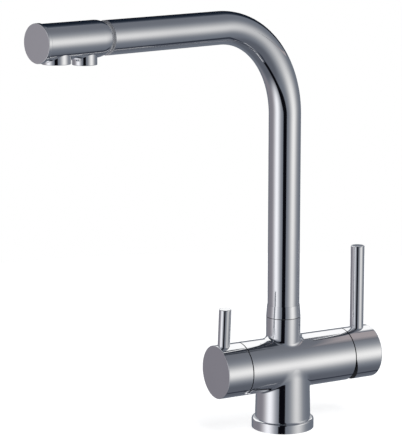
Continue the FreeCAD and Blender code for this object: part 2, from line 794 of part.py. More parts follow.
def outlet_pieces(name, at, radius, low, socket_top, way):
    """The washer, ring and flow insert of one outlet, with heights measured down from the arm's axis."""
    frame = shifted(SPOUT, -at, 0, s.arm_height, "1; 0; 0", 180)
    ring_top = socket_top + s.washer_thickness
    bore = radius - s.outlet_wall
    mouth = bore - s.outlet_lip
    lip_top = low - s.outlet_lip_height
    ring = turned(f"{name}_outlet_ring", [
        (bore, ring_top),
        (radius, ring_top),
        (radius, low),
        (mouth, low),
        (mouth, lip_top),
        (bore, lip_top),
    ])
    rounded_rings(ring, s.edge_rounding, (radius, low))
    keep(ring, frame)
    keep(turned(f"{name}_outlet_washer", sleeve(way, radius, socket_top, ring_top)), frame)

    body_radius = bore - s.fit_clearance
    nose_radius = mouth - s.fit_clearance
    plate_top = lip_top - s.outlet_lip_height
    insert = turned(f"{name}_flow_insert", [
        (body_radius - s.outlet_wall, ring_top),
        (body_radius, ring_top),
        (body_radius, lip_top),
        (nose_radius, lip_top),
        (nose_radius, low - s.insert_recess),
        (0, low - s.insert_recess),
        (0, plate_top),
        (body_radius - s.outlet_wall, plate_top),
    ])
    jet_spots = [(nose_radius * share, 0, s.jet_radius) for share in (s.outer_jets, s.inner_jets)]
    jets = cut(insert, "XY_Plane", low, circles, jet_spots, low - ring_top)
    pattern = insert.newObject("PartDesign::PolarPattern", f"{name}_jets")
    pattern.Originals = [jets]
    pattern.Axis = (jets.Profile[0], ["N_Axis"])
    pattern.Angle = 360
    pattern.setExpression("Occurrences", s.jets_per_ring.text)
    insert.Tip = pattern
    doc.recompute()
    keep(insert, frame)


def filter_duct():
    frame = shifted(SPOUT, -s.filter_outlet_at, 0, s.arm_height, "1; 0; 0", 180)
    duct = turned("filter_duct", [
        (0, -s.duct_half_height),
        (s.duct_radius, -s.duct_half_height),
        (s.duct_radius, s.duct_half_height),
        (s.duct_stem, s.duct_half_height),
        (s.duct_stem, s.filter_socket_top),
        (s.duct_bore, s.filter_socket_top),
        (s.duct_bore, 0),
        (0, 0),
    ])
    cut(duct, "YZ_Plane", s.duct_radius, circles, [(0, 0, s.filter_tube_radius + s.fit_clearance)],
        s.duct_radius - s.duct_stop)
    cut(duct, "YZ_Plane", s.duct_radius, circles, [(0, 0, s.duct_bore)], s.duct_radius)
    keep(duct, frame)


# Filter valve at the left end; heights run outwards from the middle of the barrel
def filter_valve():
    fixed_low = s.filter_seat + s.valve_seal_height
    moving_low = fixed_low + s.valve_disc
    flange_seat = moving_low + s.valve_disc
    shelf = flange_seat + s.filter_spindle_flange + s.end_play
    chamber_end = s.filter_seat + s.valve_chamber
    neck_end = s.barrel_left + s.valve_hex_height + s.valve_neck_height
    spindle_bore = s.filter_spindle_radius + s.running_clearance
    thread_radius = s.valve_pocket - s.loose_clearance
    valve = turned("filter_valve_body", [
        (s.valve_bore, s.filter_seat + s.valve_end_gap),
        (s.valve_skirt, s.filter_seat + s.valve_end_gap),
        (s.valve_skirt, chamber_end),
        (thread_radius, chamber_end),
        (thread_radius, s.barrel_left + s.valve_hex_height),
        (s.valve_neck, s.barrel_left + s.valve_hex_height),
        (s.valve_neck, neck_end),
        (spindle_bore, neck_end),
        (spindle_bore, shelf),
        (s.valve_bore, shelf),
    ])
    collar_sketch = new_sketch(valve, "XY_Plane", s.barrel_left)
    outline(collar_sketch, hexagon(s.valve_hex))
    circles(collar_sketch, [(0, 0, s.valve_neck)])
    collar = valve.newObject("PartDesign::Pad", "valve_hexagon")
    collar.Profile = collar_sketch
    collar.setExpression("Length", s.valve_hex_height.text)
    doc.recompute()
    cut(valve, "YZ_Plane", None, circles, [(0, moving_low + s.valve_disc / 2, s.valve_port)],
        s.valve_pocket * 2, both=True)
    keep(valve, LEFT)
    seal_outer = s.valve_bore - s.loose_clearance * 2
    keep(turned("filter_seat_seal", sleeve(s.supply_drill, seal_outer, s.filter_seat, fixed_low)), LEFT)

    fixed = turned("filter_fixed_disc", [
        (0, fixed_low),
        (s.valve_bore - s.loose_clearance, fixed_low),
        (s.valve_bore - s.loose_clearance, moving_low),
        (0, moving_low),
    ])
    cut(fixed, "XY_Plane", moving_low, circles,
        [(s.valve_port_offset, 0, s.valve_port), (-s.valve_port_offset, 0, s.valve_port)], s.valve_disc)
    keep(fixed, LEFT)

    moving_radius = s.valve_bore - s.loose_clearance * 3
    moving = turned("filter_moving_disc", [
        (0, moving_low),
        (moving_radius, moving_low),
        (moving_radius, flange_seat),
        (0, flange_seat),
    ])
    cut(moving, "XY_Plane", flange_seat, circles,
        [(0, s.valve_port_offset, s.valve_port), (0, -s.valve_port_offset, s.valve_port)], s.valve_disc)
    keep(moving, LEFT_TURNED)

    square_start = s.filter_cap_floor
    groove_depth = s.spindle_seal_radius * 2
    half_groove = s.spindle_seal_radius + s.loose_clearance
    seal_spots = [shelf + s.valve_neck_height, neck_end - s.valve_neck_height]
    clip_low = neck_end + s.end_play
    clip_high = clip_low + s.circlip_thickness
    section = [
        (0, flange_seat),
        (moving_radius, flange_seat),
        (moving_radius, flange_seat + s.filter_spindle_flange),
        (s.filter_spindle_radius, flange_seat + s.filter_spindle_flange),
    ]
    for spot in seal_spots:
        section += groove(s.filter_spindle_radius, groove_depth, spot - half_groove, spot + half_groove)
    section += groove(s.filter_spindle_radius, s.circlip_groove, clip_low - s.fit_clearance,
                      clip_high + s.fit_clearance)
    section += [(s.filter_spindle_radius, square_start), (0, square_start)]
    spindle = turned("filter_spindle", section)
    padded(spindle, square_start, outline, square(s.filter_square), s.filter_square_length)
    keep(spindle, LEFT_TURNED)
    ring_radius = s.filter_spindle_radius - groove_depth + s.spindle_seal_radius + s.fit_clearance / 2
    seal_rings("filter_spindle_seals", ring_radius, s.spindle_seal_radius, seal_spots, LEFT_TURNED)

    clip_bore = s.filter_spindle_radius - s.circlip_groove + s.fit_clearance
    circlip = turned("filter_circlip", sleeve(clip_bore, s.circlip_radius, clip_low, clip_high))
    half_mouth = clip_bore / 2
    mouth = [(0, -half_mouth), (s.circlip_radius * 2, -half_mouth), (s.circlip_radius * 2, half_mouth),
             (0, half_mouth)]
    cut(circlip, "XY_Plane", clip_high, outline, mouth, s.circlip_thickness)
    keep(circlip, LEFT_TURNED)


def cap_screw(label, frame, flat):
    """A socket screw that holds a cap on its square, measured from the square's flat outwards."""
    low = flat + s.fit_clearance
    high = low + s.cap_screw_length
    radius = s.cap_screw_radius - s.fit_clearance
    screw = turned(label, [(0, low), (radius, low), (radius, high), (0, high)])
    cut(screw, "XY_Plane", high, outline, hexagon(s.cap_screw_socket), s.cap_screw_socket_depth)
    keep(screw, frame)


def lever_pin(label, frame, radius, tip, shank, shank_length):
    """A lever pin with a thinner threaded shank, measured from the barrel's axis outwards."""
    seat = s.barrel_radius - s.pin_seat_drop
    shank_end = seat - shank_length + s.loose_clearance
    pin = turned(label, [
        (0, shank_end),
        (shank - s.fit_clearance, shank_end),
        (shank - s.fit_clearance, seat),
        (radius, seat),
        (radius, tip),
        (0, tip),
    ])
    rounded_rings(pin, s.pin_tip_rounding, (radius, tip))
    keep(pin, frame)


def drill_cap(cap, pin_at, pin_radius, shank, shank_length, screw_at, square_side):
    """The seat and threaded hole of a cap's lever pin, and the hole of its screw on the far side."""
    seat = s.barrel_radius - s.pin_seat_drop
    cut(cap, "YZ_Plane", seat, circles, [(0, pin_at, pin_radius + s.fit_clearance)],
        s.pin_seat_drop * 2, onward=True)
    cut(cap, "YZ_Plane", seat - shank_length, circles, [(0, pin_at, shank)], s.barrel_radius, onward=True)
    cut(cap, "YZ_Plane", -square_side / 2, circles, [(0, screw_at, s.cap_screw_radius)], s.barrel_radius)


def filter_handle():
    start = s.filter_cap_start
    end = s.filter_cap_end
    cap = turned("filter_cap", [
        (0, s.filter_cap_floor),
        (s.filter_cap_bore, s.filter_cap_floor),
        (s.filter_cap_bore, start),
        (s.barrel_radius, start),
        (s.barrel_radius, end),
        (0, end),
    ])
    rounded_rings(cap, s.edge_rounding, (s.barrel_radius, start), (s.barrel_radius, end))
    cut(cap, "XY_Plane", s.filter_cap_floor, outline, square(s.filter_square + s.loose_clearance),
        s.filter_square_length + s.end_play, onward=True)
    drill_cap(cap, s.filter_pin_at, s.filter_pin_radius, s.filter_pin_shank, s.filter_pin_shank_length,
              s.filter_pin_at, s.filter_square)
    keep(cap, LEFT_TURNED)
    lever_pin("filter_lever_pin", shifted(LEFT_LEVER, -s.filter_pin_at, 0, 0), s.filter_pin_radius,
              s.filter_pin_tip, s.filter_pin_shank, s.filter_pin_shank_length)
    screw_frame = shifted(LEFT_LEVER, -s.filter_pin_at, 0, 0, "1; 0; 0", 180)
    cap_screw("filter_cap_screw", screw_frame, s.filter_square / 2)


# Mixer cartridge at the right end; heights run outwards from the middle of the barrel
def port_spots(radius):
    """The two supply ports and the mixed port, as seen along the cartridge with up along X."""
    return [
        (-s.supply_drop, s.supply_y, radius),
        (-s.supply_drop, -s.supply_y, radius),
        (s.mixed_rise, 0, radius),
    ]


def cartridge_body():
    low = s.mixer_seat + s.cartridge_lift
    seal_outer = s.port_radius + s.port_seal_wall
    recess = s.port_seal_height - s.cartridge_lift
    base = turned("cartridge_base", [
        (0, low),
        (s.cartridge_radius, low),
        (s.cartridge_radius, s.disc_seat),
        (0, s.disc_seat),
    ])
    cut(base, "XY_Plane", s.disc_seat, circles, port_spots(s.port_radius), s.cartridge_base_height)
    cut(base, "XY_Plane", low, circles, port_spots(seal_outer + s.loose_clearance), recess, onward=True)
    keep(base, RIGHT)

    rings = []
    for x, y, radius in port_spots(seal_outer):
        tools = []
        for tool_radius in (radius, s.port_radius + s.loose_clearance):
            tool = doc.addObject("Part::Cylinder", "port_seal_round")
            tool.setExpression("Radius", tool_radius.text)
            tool.setExpression("Height", s.port_seal_height.text)
            tool.setExpression("Placement.Base.x", x.text)
            tool.setExpression("Placement.Base.y", as_term(y).text)
            tool.setExpression("Placement.Base.z", s.mixer_seat.text)
            tools.append(tool)
        ring = doc.addObject("Part::Cut", "port_seal_ring")
        ring.Base, ring.Tool = tools
        rings.append(ring)
    seals = doc.addObject("Part::Compound", "cartridge_port_seals")
    seals.Links = rings
    keep(seals, RIGHT)

    fixed = turned("cartridge_fixed_disc", [
        (0, s.disc_seat),
        (s.fixed_disc_radius, s.disc_seat),
        (s.fixed_disc_radius, s.moving_seat),
        (0, s.moving_seat),
    ])
    cut(fixed, "XY_Plane", s.moving_seat, circles, port_spots(s.port_radius), s.fixed_disc_height)
    keep(fixed, RIGHT)

    stem_bore = s.carrier_radius + s.loose_clearance
    keep(turned("cartridge_housing", [
        (s.housing_bore, s.disc_seat),
        (s.cartridge_radius, s.disc_seat),
        (s.cartridge_radius, s.cartridge_top),
        (s.housing_collar, s.cartridge_top),
        (s.housing_collar, s.cartridge_top + s.housing_collar_height),
        (stem_bore, s.cartridge_top + s.housing_collar_height),
        (stem_bore, s.cover_seat),
        (s.housing_bore, s.cover_seat),
    ]), RIGHT)

    nut_top = s.cartridge_top + s.nut_height
    nut = turned("cartridge_nut", sleeve(s.nut_bore, s.nut_radius, s.cartridge_top, nut_top))
    keep(nut, RIGHT)

    flange_top = nut_top + s.dome_flange
    inner_radius = s.dome_radius - s.dome_wall
    inner_mouth = s.dome_mouth - s.dome_wall
    keep(turned("cartridge_dome", [
        (s.nut_radius, nut_top),
        (s.nut_radius, flange_top),
        (leg(s.dome_radius, s.tilt_pivot - flange_top), flange_top),
        (s.dome_mouth, s.tilt_pivot + leg(s.dome_radius, s.dome_mouth), s.dome_radius),
        (inner_mouth, s.tilt_pivot + leg(inner_radius, inner_mouth)),
        (leg(inner_radius, s.tilt_pivot - nut_top), nut_top, -inner_radius),
    ]), RIGHT)


def mixer_discs():
    frame = shifted(RIGHT, -s.moving_disc_offset, 0, 0)
    moving = turned("mixer_moving_disc", [
        (0, s.moving_seat),
        (s.moving_disc_radius, s.moving_seat),
        (s.moving_disc_radius, s.driver_seat),
        (0, s.driver_seat),
    ])
    cut(moving, "XY_Plane", s.moving_seat, circles, [(0, 0, s.moving_disc_recess)],
        s.moving_disc_recess_depth, onward=True)
    keep(moving, frame)
    driver_top = s.driver_seat + s.driver_height
    driver = turned("mixer_disc_driver", [
        (0, s.driver_seat),
        (s.driver_radius, s.driver_seat),
        (s.driver_radius, driver_top),
        (0, driver_top),
    ])
    cut(driver, "XY_Plane", driver_top, circles,
        [(s.moving_disc_offset, 0, s.ball_radius + s.loose_clearance * 2)], s.driver_height - s.driver_floor)
    keep(driver, frame)


def mixer_carrier():
    carrier = turned("mixer_carrier", [
        (0, s.carrier_seat),
        (s.carrier_flange_radius, s.carrier_seat),
        (s.carrier_flange_radius, s.cover_seat),
        (s.carrier_radius, s.cover_seat),
        (s.carrier_radius, s.carrier_end),
        (0, s.carrier_end),
    ])
    half = s.carrier_slot_width / 2
    slot = [(-s.carrier_slot_low, -half), (s.carrier_slot_high, -half), (s.carrier_slot_high, half),
            (-s.carrier_slot_low, half)]
    cut(carrier, "XY_Plane", s.carrier_end, outline, slot, s.carrier_end - s.carrier_seat)
    cut(carrier, "XZ_Plane", None, circles, [(0, s.tilt_pivot, s.pivot_pin_radius + s.fit_clearance)],
        s.carrier_radius * 2, both=True)
    keep(carrier, RIGHT)
    half_length = s.pivot_pin_length / 2
    pin = turned("mixer_pivot_pin", [
        (0, -half_length),
        (s.pivot_pin_radius, -half_length),
        (s.pivot_pin_radius, half_length),
        (0, half_length),
    ])
    keep(pin, shifted(RIGHT, 0, 0, s.tilt_pivot, "1; 0; 0", 90))


def mixer_handle():
    ball = s.driver_seat + s.driver_floor + s.end_play + s.ball_radius
    neck_end = ball + s.ball_neck_length + s.ball_neck
    square_start = s.mixer_boss_start - s.loose_clearance
    spindle = turned("mixer_spindle", [
        (0, ball - s.ball_radius),
        (s.ball_neck, ball + leg(s.ball_radius, s.ball_neck), s.ball_radius),
        (s.ball_neck, neck_end),
        (s.mixer_spindle_radius, neck_end + s.ball_neck),
        (s.mixer_spindle_radius, square_start),
        (0, square_start),
    ])
    padded(spindle, square_start, outline, square(s.mixer_square), s.mixer_square_length)
    cut(spindle, "XZ_Plane", None, circles, [(0, s.tilt_pivot, s.pivot_pin_radius + s.running_clearance)],
        s.mixer_spindle_radius * 3, both=True)
    keep(spindle, RIGHT)

    rim_start = s.barrel_right
    cap = turned("mixer_cap", [
        (0, s.mixer_boss_start),
        (s.mixer_cap_boss, s.mixer_boss_start),
        (s.mixer_cap_boss, s.tilt_pivot + leg(s.mixer_cap_bore, s.mixer_cap_boss)),
        (s.mixer_cap_bore, s.tilt_pivot, -s.mixer_cap_bore),
        (s.mixer_cap_bore, rim_start),
        (s.barrel_radius, rim_start),
        (s.barrel_radius, s.mixer_cap_end),
        (0, s.mixer_cap_end),
    ])
    rounded_rings(cap, s.mixer_cap_rounding, (s.barrel_radius, s.mixer_cap_end))
    reach = s.barrel_radius * 2
    rim = rim_start + s.rim_gap
    relief = rim + reach * slope(s.flow_tilt)
    wedge = [(-reach, rim_start - reach), (-reach, relief), (0, rim), (reach, rim), (reach, rim_start - reach)]
    cut(cap, "XZ_Plane", None, outline, wedge, reach * 2, both=True)
    cut(cap, "XY_Plane", s.mixer_boss_start, outline, square(s.mixer_square + s.loose_clearance),
        s.mixer_square_length + s.end_play, onward=True)
    drill_cap(cap, s.mixer_pin_at, s.mixer_pin_radius, s.mixer_pin_shank, s.mixer_pin_shank_length,
              s.mixer_screw_at, s.mixer_square)
    keep(cap, RIGHT)
    lever_pin("mixer_lever_pin", shifted(RIGHT_LEVER, s.mixer_pin_at, 0, 0), s.mixer_pin_radius,
              s.mixer_pin_tip, s.mixer_pin_shank, s.mixer_pin_shank_length)
    screw_frame = shifted(RIGHT_LEVER, s.mixer_screw_at, 0, 0, "1; 0; 0", 180)
    cap_screw("mixer_cap_screw", screw_frame, s.mixer_square / 2)


body_casting()
base_pieces()
swivel_pieces()
spout_tubes()
head_pieces()
outlet_pieces("mains", s.mains_outlet_at, s.mains_outlet_radius, s.mains_outlet_low, s.mains_socket_top,
              s.mains_way)
outlet_pieces("filter", s.filter_outlet_at, s.filter_outlet_radius, s.filter_outlet_low, s.filter_socket_top,
              s.duct_stem)
filter_duct()
filter_valve()
filter_handle()
cartridge_body()
mixer_discs()
mixer_carrier()
mixer_handle()

doc.recompute()
for item in doc.Objects:
    if "Invalid" in item.State or "Error" in item.State:
        raise RuntimeError(f"{item.Name} did not build: {item.State}")
os.makedirs("parts", exist_ok=True)
for node in nodes:
    if node.Shape.isNull() or not node.Shape.isValid():
        raise RuntimeError(f"{node.Label} has no sound shape")
    node.Shape.exportStep(f"parts/{node.Label}.step")
print(f"{len(nodes)} pieces")
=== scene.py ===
import json
import math
from collections import namedtuple

import bmesh
import bpy
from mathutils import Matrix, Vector


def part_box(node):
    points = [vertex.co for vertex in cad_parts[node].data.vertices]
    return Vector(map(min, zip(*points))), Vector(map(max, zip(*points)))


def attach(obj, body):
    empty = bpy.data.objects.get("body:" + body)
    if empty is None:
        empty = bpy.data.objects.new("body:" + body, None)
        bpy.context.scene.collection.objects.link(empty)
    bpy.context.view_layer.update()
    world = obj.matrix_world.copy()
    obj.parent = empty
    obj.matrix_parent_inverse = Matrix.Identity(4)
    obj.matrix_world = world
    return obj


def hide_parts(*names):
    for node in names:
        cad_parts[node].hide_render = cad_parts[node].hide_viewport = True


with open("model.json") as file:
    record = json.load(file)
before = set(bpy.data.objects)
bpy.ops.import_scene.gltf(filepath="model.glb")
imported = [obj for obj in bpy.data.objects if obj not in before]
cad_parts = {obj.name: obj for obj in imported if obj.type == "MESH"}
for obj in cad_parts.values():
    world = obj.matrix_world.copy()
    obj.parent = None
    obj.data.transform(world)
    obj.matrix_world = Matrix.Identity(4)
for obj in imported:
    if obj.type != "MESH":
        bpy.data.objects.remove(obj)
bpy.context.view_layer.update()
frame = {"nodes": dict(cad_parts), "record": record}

MM = 0.001

# Camera of the photograph, in degrees, metres and pixels
CAMERA_AZIMUTH = -29.79
CAMERA_ELEVATION = 10.58
CAMERA_DISTANCE = 1.60659
CAMERA_ASIDE = -0.0658
CAMERA_HEIGHT = 0.16889
CAMERA_SIGHT = 100.0
FOCAL_PIXELS = 2028.11
PHOTO_HEIGHT = 440
SENSOR = 36.0

# Column and barrel of the casting
BARREL_HEIGHT = 52.6 * MM
BARREL_RADIUS = 21.25 * MM
COLUMN_FOOT = 8.0 * MM
COLUMN_FOOT_RADIUS = 22.3 * MM
COLUMN_TOP_RADIUS = 21.24 * MM

# Buffing of the junction: how far it eases the crease, and where it begins and is whole
JUNCTION_EASE = 2.2 * MM
BUFFED_INSIDE = (-1.2 * MM, -0.6 * MM)
BUFFED_OUTSIDE = (1.6 * MM, 0.8 * MM)
BUFFED_ABOVE = (3.0 * MM, -6.0 * MM)
BUFFED_FOOT = (COLUMN_FOOT, COLUMN_FOOT + 1.0 * MM)
BUFFED_ASIDE = (34.0 * MM, 26.0 * MM)

# Buffing of the head's shoulder: its strength, and the lean where it begins and is whole
SHOULDER_DRAW = 0.8
SHOULDER_LEAN = (0.9, 0.75)

# Rim of the mixer cap, painted dark as painted shade in the gap towards the dome
CAP_RIM_END = 64.0 * MM
CAP_RIM_FACING = -0.9

# Part of a noise's range that the finishes use
WANDER_LOW = 0.3
WANDER_HIGH = 0.7

# Spout tube
TUBE_WALL = 1.5 * MM
TUBE_BEND = 72.5 * MM
TUBE_SIDES = 128
TUBE_SHARP_ANGLE = 40
TUBE_END_FACING = 0.99
BEND_STEPS = 72

# Flow inserts
OUTLET_WALL = 1.6 * MM
OUTLET_LIP = 0.7 * MM
OUTLET_LIP_HEIGHT = 1.0 * MM
JET_RADIUS = 0.7 * MM
JET_SIDES = 20
JETS_PER_RING = 8
OUTER_JETS = 0.75
INNER_JETS = 0.4
JET_TIP_WALL = 0.3 * MM
JET_TIP_HEIGHT = 0.3 * MM
DRILL_OVERRUN = 4
INSERT_SIDES = 96
INSERT_ROUNDING = 0.15 * MM
INSERT_SHARP_ANGLE = 35


def pointing(azimuth, elevation):
    """A direction from the tap by its azimuth, which is 0 towards the user, and its elevation."""
    a, e = math.radians(azimuth), math.radians(elevation)
    return Vector((math.sin(a) * math.cos(e), -math.cos(a) * math.cos(e), math.sin(e)))


def middle(cad_node):
    low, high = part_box(cad_node)
    return (Vector(low) + Vector(high)) / 2


def arm_direction():
    """The level direction of the spout's arm, from the column to the head."""
    head = middle("head_end_cap")
    return Vector((head.x, head.y, 0)).normalized()


def placed(name, data):
    """An object for this mesh, curve, lamp or camera, in the scene."""
    made = bpy.data.objects.new(name, data)
    bpy.context.scene.collection.objects.link(made)
    return made


def node(tree, kind, sockets=None, **settings):
    """Add a node, with its settings, and its sockets set or linked."""
    made = tree.nodes.new(kind)
    for name, value in settings.items():
        setattr(made, name, value)
    for key, value in (sockets or {}).items():
        if isinstance(value, bpy.types.NodeSocket):
            tree.links.new(value, made.inputs[key])
        else:
            made.inputs[key].default_value = value
    return made


def number_of(tree, operation, *values):
    """A number that a math node works out."""
    made = node(tree, "ShaderNodeMath", dict(enumerate(values)), operation=operation)
    return made.outputs[0]


def vector_of(tree, operation, output, *values):
    """A vector math node's output of that name."""
    made = node(tree, "ShaderNodeVectorMath", dict(enumerate(values)), operation=operation)
    return made.outputs[output]


def unit(tree, vector):
    return vector_of(tree, "NORMALIZE", "Vector", vector)


# Finishes
def blank_material(name):
    material = bpy.data.materials.new(name)
    material.use_nodes = True
    material.node_tree.nodes.clear()
    return material, material.node_tree


def surface(tree, shader):
    node(tree, "ShaderNodeOutputMaterial", {"Surface": shader.outputs[0]})


def object_place(tree, stretch=(1, 1, 1)):
    """Object coordinates, stretched for marks that run one way."""
    place = node(tree, "ShaderNodeTexCoord").outputs["Object"]
    return node(tree, "ShaderNodeMapping", {"Vector": place, "Scale": stretch}).outputs["Vector"]


def mottle(tree, place, scale, detail=3.0):
    noise = node(tree, "ShaderNodeTexNoise", {"Vector": place, "Scale": scale, "Detail": detail})
    return noise.outputs["Fac"]


def between(tree, factor, low, high):
    """A value that wanders between two levels."""
    wander = node(tree, "ShaderNodeMapRange", {
        "Value": factor, "From Min": WANDER_LOW, "From Max": WANDER_HIGH,
        "To Min": low, "To Max": high})
    return wander.outputs["Result"]


def tint(tree, factor, first, second):
    """A colour that wanders between two shades."""
    ramp = node(tree, "ShaderNodeValToRGB", {"Fac": factor})
    stops = zip(ramp.color_ramp.elements, (WANDER_LOW, WANDER_HIGH), (first, second))
    for stop, position, shade in stops:
        stop.position = position
        stop.color = (*shade, 1)
    return ramp.outputs["Color"]


def ripple(tree, height, depth, strength=1.0, facing=None):
    """A surface that faces as the given direction does, with small waves."""
    sockets = {"Height": height, "Distance": depth, "Strength": strength}
    if facing is not None:
        sockets["Normal"] = facing
    return node(tree, "ShaderNodeBump", sockets).outputs["Normal"]


def eased(tree, value, start, end):
    """A smooth step from zero at the start to one at the end."""
    step = node(tree, "ShaderNodeMapRange", {"Value": value, "From Min": start, "From Max": end},
                interpolation_type="SMOOTHSTEP")
    return step.outputs["Result"]


def turned_between(tree, share, first, second):
    """A direction that turns from the first to the second as the share goes from zero to one."""
    mix = node(tree, "ShaderNodeMix", {"Factor": share, 4: first, 5: second}, data_type="VECTOR")
    return unit(tree, mix.outputs[1])


def buffed_junction(tree):
    """How the casting faces, with the crease from column to barrel eased by the buffing wheel."""
    place = node(tree, "ShaderNodeTexCoord").outputs["Object"]
    x, y, z = node(tree, "ShaderNodeSeparateXYZ", {0: place}).outputs
    above = number_of(tree, "SUBTRACT", z, BARREL_HEIGHT)
    from_column = node(tree, "ShaderNodeCombineXYZ", {"X": x, "Y": y}).outputs[0]
    from_barrel = node(tree, "ShaderNodeCombineXYZ", {"Y": y, "Z": above}).outputs[0]
    column_radius = node(tree, "ShaderNodeMapRange", {
        "Value": z, "From Min": COLUMN_FOOT, "From Max": BARREL_HEIGHT,
        "To Min": COLUMN_FOOT_RADIUS, "To Max": COLUMN_TOP_RADIUS}).outputs["Result"]
    column_distance = vector_of(tree, "LENGTH", "Value", from_column)
    barrel_distance = vector_of(tree, "LENGTH", "Value", from_barrel)
    off_column = number_of(tree, "SUBTRACT", column_distance, column_radius)
    off_barrel = number_of(tree, "SUBTRACT", barrel_distance, BARREL_RADIUS)
    nearer = number_of(tree, "SUBTRACT", off_column, off_barrel)
    share = eased(tree, nearer, -JUNCTION_EASE, JUNCTION_EASE)
    smooth = turned_between(tree, share, unit(tree, from_column), unit(tree, from_barrel))
    outside = number_of(tree, "MINIMUM", off_column, off_barrel)
    mask = eased(tree, outside, *BUFFED_INSIDE)
    for limit in (eased(tree, outside, *BUFFED_OUTSIDE), eased(tree, above, *BUFFED_ABOVE),
                  eased(tree, z, *BUFFED_FOOT),
                  eased(tree, number_of(tree, "ABSOLUTE", x), *BUFFED_ASIDE)):
        mask = number_of(tree, "MULTIPLY", mask, limit)
    plain = node(tree, "ShaderNodeNewGeometry").outputs["Normal"]
    return turned_between(tree, mask, plain, smooth)


def drawn_shoulder(tree):
    """How the head faces, with its shoulder buffed so that long reflections run on to its end."""
    along = arm_direction()
    seen = node(tree, "ShaderNodeNewGeometry").outputs["Normal"]
    own = node(tree, "ShaderNodeVectorTransform", {0: seen}, vector_type="NORMAL",
               convert_from="WORLD", convert_to="OBJECT").outputs[0]
    lean = vector_of(tree, "DOT_PRODUCT", "Value", own, along)
    wall = eased(tree, number_of(tree, "ABSOLUTE", lean), *SHOULDER_LEAN)
    back = number_of(tree, "MULTIPLY", number_of(tree, "MULTIPLY", lean, wall), -SHOULDER_DRAW)
    drawn = node(tree, "ShaderNodeVectorMath", {0: along, "Scale": back}, operation="SCALE")
    turned = unit(tree, vector_of(tree, "ADD", "Vector", own, drawn.outputs["Vector"]))
    return node(tree, "ShaderNodeVectorTransform", {0: turned}, vector_type="NORMAL",
                convert_from="OBJECT", convert_to="WORLD").outputs[0]


def polished_chrome(name="polished_chrome", facing=None):
    """Bright plating with a faint haze, fine wiping marks and a polished wall's waviness."""
    material, tree = blank_material(name)
    place = object_place(tree)
    wipes = object_place(tree, stretch=(1, 1, 0.06))
    haze = between(tree, mottle(tree, place, scale=55.0, detail=5.0), low=0.035, high=0.07)
    wiped = between(tree, mottle(tree, wipes, scale=900.0, detail=2.0), low=0.0, high=0.018)
    waves = mottle(tree, place, scale=45.0, detail=1.0)
    shades = mottle(tree, place, scale=22.0)
    surface(tree, node(tree, "ShaderNodeBsdfPrincipled", {
        "Base Color": tint(tree, shades, (0.905, 0.91, 0.925), (0.945, 0.95, 0.96)),
        "Metallic": 1.0, "Roughness": number_of(tree, "ADD", haze, wiped),
        "Normal": ripple(tree, waves, depth=0.02 * MM, facing=facing and facing(tree))}))
    return material


def satin_chrome():
    """Plated faces that no wheel reaches, such as the walls of a groove."""
    material, tree = blank_material("satin_chrome")
    place = object_place(tree)
    shades = mottle(tree, place, scale=90.0)
    dulling = mottle(tree, place, scale=700.0)
    pits = mottle(tree, place, scale=1800.0)
    surface(tree, node(tree, "ShaderNodeBsdfPrincipled", {
        "Base Color": tint(tree, shades, (0.80, 0.805, 0.82), (0.86, 0.865, 0.88)),
        "Metallic": 0.7, "Roughness": between(tree, dulling, low=0.34, high=0.46),
        "Normal": ripple(tree, pits, depth=0.008 * MM, strength=0.4)}))
    return material


def turned_metal(name, dark, light, smooth, rough):
    """Bare metal from the lathe, with tool lines and a little staining."""
    material, tree = blank_material(name)
    place = object_place(tree)
    lines = node(tree, "ShaderNodeTexWave", {
        "Vector": place, "Scale": 900.0, "Distortion": 2.0, "Detail": 2.0, "Detail Scale": 1.5},
        wave_type="BANDS", bands_direction="DIAGONAL")
    stain = mottle(tree, place, scale=160.0, detail=4.0)
    dulling = mottle(tree, place, scale=420.0)
    surface(tree, node(tree, "ShaderNodeBsdfPrincipled", {
        "Base Color": tint(tree, stain, dark, light), "Metallic": 1.0,
        "Roughness": between(tree, dulling, smooth, rough),
        "Normal": ripple(tree, lines.outputs["Fac"], depth=0.01 * MM, strength=0.6)}))
    return material


def moulded(name, dark, light, smooth, rough, grain, depth, scatter=0.0):
    """A moulded or extruded plastic or rubber, with its mould grain."""
    material, tree = blank_material(name)
    place = object_place(tree)
    skin = node(tree, "ShaderNodeTexVoronoi", {"Vector": place, "Scale": grain},
                feature="SMOOTH_F1")
    blotches = mottle(tree, place, scale=grain / 9, detail=4.0)
    dulling = mottle(tree, place, scale=grain / 3)
    surface(tree, node(tree, "ShaderNodeBsdfPrincipled", {
        "Base Color": tint(tree, blotches, dark, light),
        "Roughness": between(tree, dulling, smooth, rough),
        "Subsurface Weight": scatter, "Subsurface Scale": 1.0 * MM,
        "Normal": ripple(tree, skin.outputs["Distance"], depth, strength=0.5)}))
    return material


def lapped_ceramic():
    """White sintered discs, lapped smooth, with a fine grey speckle."""
    material, tree = blank_material("lapped_ceramic")
    place = object_place(tree)
    speckle = mottle(tree, place, scale=2600.0, detail=2.0)
    dulling = mottle(tree, place, scale=300.0)
    surface(tree, node(tree, "ShaderNodeBsdfPrincipled", {
        "Base Color": tint(tree, speckle, (0.80, 0.79, 0.75), (0.88, 0.87, 0.84)),
        "Roughness": between(tree, dulling, low=0.12, high=0.24),
        "Normal": ripple(tree, speckle, depth=0.004 * MM, strength=0.4)}))
    return material


